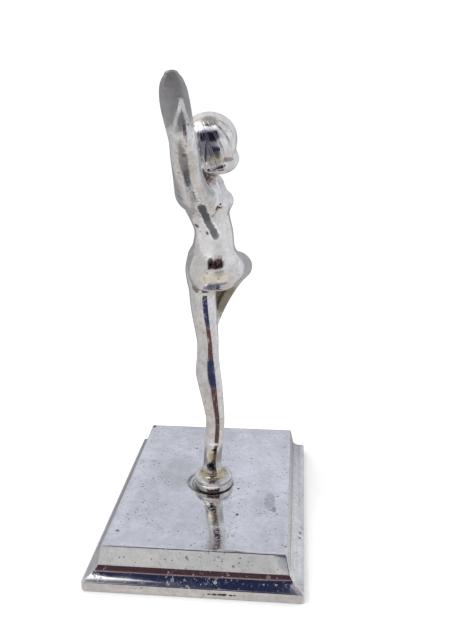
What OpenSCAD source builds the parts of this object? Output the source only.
// Dancer car mascot on a stepped display base.
// Origin: centre of the underside. +Z is up. The base's long sides run along Y.

/* [Base casting] */
// Width of the slab's flat top, along X
slab_w = 72; // [64:1:84]
// Length of the slab's flat top, along Y
slab_l = 99; // [90:1:115]
// Height of the slab's top above the table
base_h = 16.8; // [15.6:0.2:20]
// How far the plinth stands out beyond the slab's top edge
plinth_margin = 6.8; // [5:0.2:9]
// Height of the upright fascia
fascia_h = 4.4; // [3.8:0.2:5.4]
// Height of the hollow moulding above the fascia
cove_h = 4.4; // [3:0.2:5]
// Outward draft of the slab's sides
slab_draft = 1.4; // [0.8:0.1:2]
// Thickness of the casting's top
top_wall = 3; // [2.4:0.1:4]

/* [Mascot] */
// Height of the figure, from its toes to the crown of its head
figure_h = 152; // [140:1:160]
// Direction the figure faces, in degrees from +X towards +Y
figure_yaw = 7.7; // [-20:0.1:20]
// Distance of the mascot's axis from the base's centre, along X
mascot_x = 2.4; // [-4:0.1:4]
// Distance of the mascot's axis from the base's centre, along Y
mascot_y = -3.4; // [-4:0.1:4]

/* [Foot disc and fixings] */
// Diameter of the turned foot disc
disc_d = 17; // [15:0.5:22]
// Height of the foot disc
disc_h = 6.8; // [6:0.2:9]
// Diameter of the mounting stud
stud_d = 6; // [5:0.5:7]
// Radial running clearance between the stud and the casting
stud_play = 0.06; // [0.02:0.01:0.1]
// Thickness of the fibre washer under the disc
seat_t = 0.4; // [0.3:0.1:1]

/* [Underside] */
// Thickness of the bottom board
board_t = 2.5; // [2:0.1:3]
// Thickness of the baize
baize_t = 1.2; // [0.8:0.1:1.6]
// How far the baize stands below the casting's rim
baize_proud = 0.3; // [0.2:0.1:0.8]

/* [Hidden] */

gap = 0.05;                 // face to face gap between parts that turn past each other
round_fn = 72;              // facets of the turned parts
body_fn = 20;               // facets of the figure's ellipsoids

// Base levels and plan sizes
foot_w = slab_w + 2 * plinth_margin;
foot_l = slab_l + 2 * plinth_margin;
slab_foot_z = fascia_h + cove_h;
ledge = 0.5;                // small flat step at the head of the fascia
rim_w = 3.2;                // width of the casting's rim around the board
board_z = baize_t;
board_top = board_z + board_t;
wall = 4;                   // side wall of the hollow
boss_r = 4;
boss_in = 5.5;              // boss centre to the hollow's sides
hollow_w = slab_w - 2 * wall;
hollow_l = slab_l - 2 * wall;
screw_r = 1.25;
screw_head_r = 2.7;
screw_len = 9;

// Stack of fixings under the slab, from the top down
clamp_t = 1.2;
lock_t = 1.1;
nut_h = 4.6;
slab_under = base_h - top_wall;
clamp_r = 8;
nut_af = 10;                // across flats
stud_top = 3.6;             // how far the stud enters the disc
stud_tail = 0.8;            // how far it shows below the nut
toe_tenon_r = 2.35;         // the figure's tenon in the top of the disc
toe_tenon_len = 2.3;

// ---------- base ----------

function arc(cx, cy, rx, ry, a0, a1, n) =
    [for (i = [0:n]) let (a = a0 + (a1 - a0) * i / n) [cx + rx * cos(a), cy + ry * sin(a)]];

// Curve from a to c that leaves a and reaches c along the lines through b
function hollow_curve(a, b, c, n) =
    [for (i = [0:n]) let (t = i / n) (1 - t) * (1 - t) * a + 2 * t * (1 - t) * b + t * t * c];

// Outer half section of the base, seen along a side: [distance from the centre, height]
function edge_section(half) = concat(
    arc(half + plinth_margin - 0.6, baize_proud + 0.6, 0.6, 0.6, -90, 0, 3),
    arc(half + plinth_margin - 0.4, fascia_h - 0.4, 0.4, 0.4, 0, 90, 3),
    hollow_curve([half + plinth_margin - ledge, fascia_h + 0.05],
                 [half + slab_draft + 0.37 * (plinth_margin - ledge - slab_draft), fascia_h + 0.34 * cove_h],
                 [half + slab_draft, slab_foot_z], 10),
    arc(half - 0.5, base_h - 0.5, 0.5, 0.5, 15, 90, 4));

module both_sides(half) {
    right = edge_section(half);
    n = len(right);
    polygon(concat(right, [for (i = [n - 1:-1:0]) [-right[i][0], right[i][1]]]));
}

module boss_places() {
    for (sx = [-1, 1], sy = [-1, 1])
        translate([sx * (hollow_w / 2 - boss_in), sy * (hollow_l / 2 - boss_in), 0]) children();
}

module base_casting() {
    color("gainsboro") {
        difference() {
            intersection() {
                rotate([90, 0, 0])
                    linear_extrude(height = foot_l + 2, center = true) both_sides(slab_w / 2);
                rotate([90, 0, 90])
                    linear_extrude(height = foot_w + 2, center = true) both_sides(slab_l / 2);
            }
            translate([-foot_w / 2 + rim_w, -foot_l / 2 + rim_w, -1])
                cube([foot_w - 2 * rim_w, foot_l - 2 * rim_w, board_top + 1]);
            difference() {
                translate([-hollow_w / 2, -hollow_l / 2, board_top - 1])
                    cube([hollow_w, hollow_l, slab_under - board_top + 1]);
                boss_places() cylinder(r = boss_r, h = base_h, $fn = round_fn);
            }
            boss_places() translate([0, 0, board_top - 1])
                cylinder(r = screw_r, h = screw_len - board_t + 1.4, $fn = round_fn);
            translate([mascot_x, mascot_y, slab_under - 1])
                cylinder(r = stud_d / 2 + stud_play, h = top_wall + 2, $fn = round_fn);
        }
    }
}

module countersink(r_head, r_shank, depth) {
    cylinder(r1 = r_head, r2 = r_shank, h = depth, $fn = round_fn);
}

module bottom_board() {
    fit = 0.2;
    color("sienna") difference() {
        translate([-foot_w / 2 + rim_w + fit, -foot_l / 2 + rim_w + fit, board_z])
            cube([foot_w - 2 * (rim_w + fit), foot_l - 2 * (rim_w + fit), board_t]);
        boss_places() {
            translate([0, 0, board_z - 1]) cylinder(r = screw_r, h = board_t + 2, $fn = round_fn);
            translate([0, 0, board_z])
                countersink(screw_head_r, screw_r, screw_head_r - screw_r);
        }
    }
}

module board_screws() {
    color("goldenrod") boss_places() translate([0, 0, board_z]) difference() {
        union() {
            countersink(screw_head_r, screw_r, screw_head_r - screw_r);
            cylinder(r = screw_r, h = screw_len, $fn = round_fn);
        }
        translate([-screw_head_r, -0.3, -0.01]) cube([2 * screw_head_r, 0.6, 0.6]);
    }
}

module baize_pad() {
    inset = rim_w + 0.6;
    color("darkgreen") translate([-foot_w / 2 + inset, -foot_l / 2 + inset, 0])
        cube([foot_w - 2 * inset, foot_l - 2 * inset, baize_t]);
}

// ---------- turned parts and fixings, about the mascot's axis ----------

module on_axis(z) {
    translate([mascot_x, mascot_y, z]) children();
}

module ring(r_out, r_in, h) {
    rotate_extrude($fn = round_fn) translate([r_in, 0]) square([r_out - r_in, h]);
}

module seat_washer() {
    color("dimgray") on_axis(base_h) ring(disc_d / 2 - 0.6, stud_d / 2 + 0.4, seat_t);
}

// Half section of the foot disc: band, groove, round shoulder, hollow neck
module disc_section() {
    r = disc_d / 2;
    band = 0.4 * disc_h;
    neck_r = 4.5;
    shoulder = r - 1.1;
    polygon(concat(
        [[0, 0], [r - 0.5, 0], [r, 0.5], [r, band - 0.3], [r - 0.3, band]],
        [[r - 0.75, band], [r - 0.75, band + 0.35]],
        arc(shoulder, band + 1.15, 0.85, 0.8, -90, 80, 8),
        arc(shoulder + 0.1, disc_h - 0.1, shoulder - neck_r + 0.1, 2.2, 262, 182, 8),
        [[neck_r, disc_h], [0, disc_h]]));
}

module foot_disc() {
    color("gainsboro") on_axis(base_h + seat_t + gap) difference() {
        rotate_extrude($fn = round_fn) disc_section();
        translate([0, 0, -1]) cylinder(r = stud_d / 2, h = stud_top + 1, $fn = round_fn);
        translate([0, 0, disc_h - toe_tenon_len - 0.1])
            cylinder(r = toe_tenon_r + spigot_play, h = 4, $fn = round_fn);
    }
}

module mounting_stud() {
    bottom = slab_under - clamp_t - lock_t - nut_h - stud_tail;
    top = base_h + seat_t + gap + stud_top;
    color("darkgray") on_axis(bottom) {
        cylinder(r1 = stud_d / 2 - 0.6, r2 = stud_d / 2, h = 0.6, $fn = round_fn);
        translate([0, 0, 0.6]) cylinder(r = stud_d / 2, h = top - bottom - 0.6, $fn = round_fn);
    }
}

module clamp_washer() {
    color("silver") on_axis(slab_under - clamp_t - gap) ring(clamp_r, stud_d / 2, clamp_t);
}

module lock_washer() {
    color("silver") on_axis(slab_under - clamp_t - lock_t - gap) difference() {
        ring(stud_d / 2 + 2, stud_d / 2, lock_t);
        translate([0, -0.4, -1]) cube([8, 0.8, lock_t + 2]);
    }
}

module clamp_nut() {
    color("silver") on_axis(slab_under - clamp_t - lock_t - nut_h - gap) difference() {
        cylinder(r = nut_af / 2 / cos(30), h = nut_h, $fn = 6);
        translate([0, 0, -1]) cylinder(r = stud_d / 2, h = nut_h + 2, $fn = round_fn);
    }
}

// ---------- figure ----------
// Its stations are written for a figure 152 high. x is forwards, y to its left, z above the slab.

design_h = 152;
figure_lift = base_h + seat_t + gap;

module as_figure() {
    translate([mascot_x, mascot_y, figure_lift]) rotate([0, 0, figure_yaw])
        scale(figure_h / design_h) children();
}

// One ellipsoid: [x, y, z, half depth, half width, half height, turn about z]
module blob(s) {
    translate([s[0], s[1], s[2]]) rotate([0, 0, s[6]]) scale([s[3], s[4], s[5]])
        sphere(r = 1, $fn = body_fn);
}

// Ellipsoids joined one to the next
module chain(stations) {
    for (i = [0:len(stations) - 2]) hull() {
        blob(stations[i]);
        blob(stations[i + 1]);
    }
}

// A round station
function ball(x, y, z, r) = [x, y, z, r, r, r, 0];

standing_leg = [
    [-1.6, 5.6, 98, 7.3, 7.4, 7, 0],        // hip
    [-2.9, 4.8, 87, 5.6, 5.8, 5, 0],        // top of the thigh
    [-2.2, 3.8, 76, 4.9, 5, 5, 0],
    [-1.3, 3.1, 66, 4.6, 4.3, 4, 0],        // knee
    [-1.3, 2.7, 60, 4.6, 4.3, 4, 0],
    [-1.3, 2.3, 53, 5.3, 4.6, 4, 0],        // calf
    [-0.3, 1.9, 45, 5, 4.5, 4, 0],
    [1, 1.3, 34, 4.3, 3.7, 3.6, 0],         // ankle
    [1.1, 0.8, 26, 4, 3.5, 3.4, 0],
    [0.2, 0.3, 15, 3.9, 3.7, 3.4, 0],       // toes
    [0, 0, 11, 4, 3.9, 3.4, 0]];

torso = [
    [0.9, 0, 99, 8.5, 12, 6, 28],           // hips
    [1.5, 0, 104, 8.2, 11.6, 5, 26],
    [2.1, 0, 109, 8, 10, 5, 18],
    [2.1, 0, 114, 7.7, 9, 4, 8],            // waist
    [0.6, 0, 119, 8.2, 9.8, 4, 0],
    [-0.9, 0, 125, 9, 11.4, 5, -8],         // ribs
    [-1.6, 0, 130, 7.4, 12.2, 4.8, -15]];   // collar

neck = [ball(-1.8, 0, 133, 4), ball(-0.4, 0.4, 140, 3.6), ball(1.6, 1.2, 146, 4)];

head_turn = 62;
head = [[1.6, 0.6, 149.3, 10.2, 9.2, 9, head_turn], [3.6, 1.6, 144, 8.2, 6.8, 7.6, head_turn]];

breasts = [ball(6.3, 4, 124.4, 3.9), ball(4.4, -6.2, 124.2, 3.9)];
shoulder = [[-2.4, 6, 129, 6.4, 5.6, 5.4, 0], [-4.4, 11.5, 128.4, 7.3, 5.6, 6.2, 0]];

thigh = [
    ball(2.6, -6.4, 100.4, 7.9),            // root
    ball(6.2, -1, 98.8, 7.9),
    ball(9.2, 8, 96.6, 7),
    ball(11.9, 17, 94.6, 6),
    ball(13.6, 24.4, 93, 5)];               // knee
shin = [
    ball(13.4, 24.2, 92.8, 4.8),
    ball(8, 23, 86, 4.7),
    ball(4, 20.6, 79.6, 4.5),
    ball(1.4, 18, 74, 4),
    ball(-0.8, 14.6, 66, 3.1),              // ankle
    ball(-2.6, 12, 60, 2.8),
    ball(-4, 10.4, 55, 2.4),
    ball(-4.4, 9.6, 50.5, 1.7)];            // toes

arm = [
    [-4.4, 11.5, 128.4, 7.3, 5.6, 6.2, 0],  // shoulder
    [-5.4, 17, 130.6, 6.7, 5.3, 5.6, 0],
    [-6, 24, 134.4, 5.9, 5, 5.2, 0],
    [-6.7, 33, 140.4, 5, 4.7, 4.7, 0],      // elbow
    [-7.1, 39.6, 146.4, 4.7, 4.4, 4.4, 0],
    [-7.7, 43.6, 152, 4.4, 3.3, 3.4, 0],    // wrist
    [-9, 45.4, 160, 4.7, 2.6, 3, 0],        // palm
    [-9.6, 46.4, 165.4, 4.3, 2.1, 3, 0],
    [-10.1, 46.8, 169, 2.4, 1.5, 2.4, 0]];  // fingertips
thumb = [ball(-7.4, 43.4, 156, 1.5), ball(-8, 43.2, 162, 1.1)];

shoulder_y = 11.5;
left_forward = 4.2;                         // how much further forwards the left shoulder is
left_sweep = 7.8;                           // how far the left hand reaches back from there
arm_plane = 12.6;                           // where an arm meets the body, from the figure's middle
spigot_r = 2;
spigot_len = 4;
spigot_play = 0.05;
spigot_fn = 24;

// Stations moved forward at the shoulder, and back again in proportion to their distance from it
function swept(stations, forward, back) = [for (s = stations)
    concat([s[0] + forward * min(1, s[1] / shoulder_y) - back * max(0, s[1] - shoulder_y) / 35],
           [for (i = [1:6]) s[i]])];

// A frame on the joint of the raised thigh, its z along the thigh towards the knee
module thigh_axis() {
    translate([7.2, 2, 98]) rotate([0, 0, 70]) rotate([0, 94, 0]) children();
}

// All that lies past the thigh's joint
module past_thigh_joint() {
    thigh_axis() translate([-20, -20, 0]) cube([40, 40, 50]);
}

module trunk() {
    chain(standing_leg);
    chain(torso);
    chain(neck);
    chain(head);
    chain(swept(shoulder, left_forward, 0));
    mirror([0, 1, 0]) chain(shoulder);
    for (b = breasts) blob(b);
}

module figure_body() {
    color("gainsboro") as_figure() {
        difference() {
            union() {
                trunk();
                difference() {
                    hull() {
                        blob(thigh[0]);
                        blob(thigh[1]);
                    }
                    past_thigh_joint();
                }
            }
            for (side = [-1, 1]) scale([1, side, 1])
                translate([-30, arm_plane, 110]) cube([60, 20, 30]);
            arm_spigot(spigot_r + spigot_play, left_forward);
            mirror([0, 1, 0]) arm_spigot(spigot_r + spigot_play, 0);
            thigh_spigot(spigot_r + spigot_play);
            translate([-20, -20, 0]) cube([40, 40, disc_h]);
        }
        translate([0, 0, disc_h - toe_tenon_len]) cylinder(r = toe_tenon_r, h = 4, $fn = spigot_fn);
    }
}

module arm_spigot(r, forward) {
    translate([forward - 3.4, arm_plane - spigot_len, 128.8]) rotate([-90, 0, 0])
        cylinder(r = r, h = spigot_len + 1, $fn = spigot_fn);
}

module thigh_spigot(r) {
    thigh_axis() translate([0, 0, -spigot_len]) cylinder(r = r, h = spigot_len + 1, $fn = spigot_fn);
}

module raised_leg() {
    color("gainsboro") as_figure() {
        difference() {
            union() {
                intersection() {
                    chain([for (i = [1:4]) thigh[i]]);
                    past_thigh_joint();
                }
                chain(shin);
            }
            trunk();
        }
        thigh_spigot(spigot_r);
    }
}

module arm_casting(forward, back) {
    difference() {
        union() {
            chain(swept(arm, forward, back));
            chain(swept(thumb, forward, back));
        }
        translate([-30, arm_plane - 30, 100]) cube([60, 30, 60]);
    }
    arm_spigot(spigot_r, forward);
}

module right_arm() {
    color("gainsboro") as_figure() mirror([0, 1, 0]) arm_casting(0, 0);
}

module left_arm() {
    color("gainsboro") as_figure() arm_casting(left_forward, left_sweep);
}

base_casting();
bottom_board();
board_screws();
baize_pad();
seat_washer();
foot_disc();
mounting_stud();
clamp_washer();
lock_washer();
clamp_nut();
figure_body();
raised_leg();
right_arm();
left_arm();
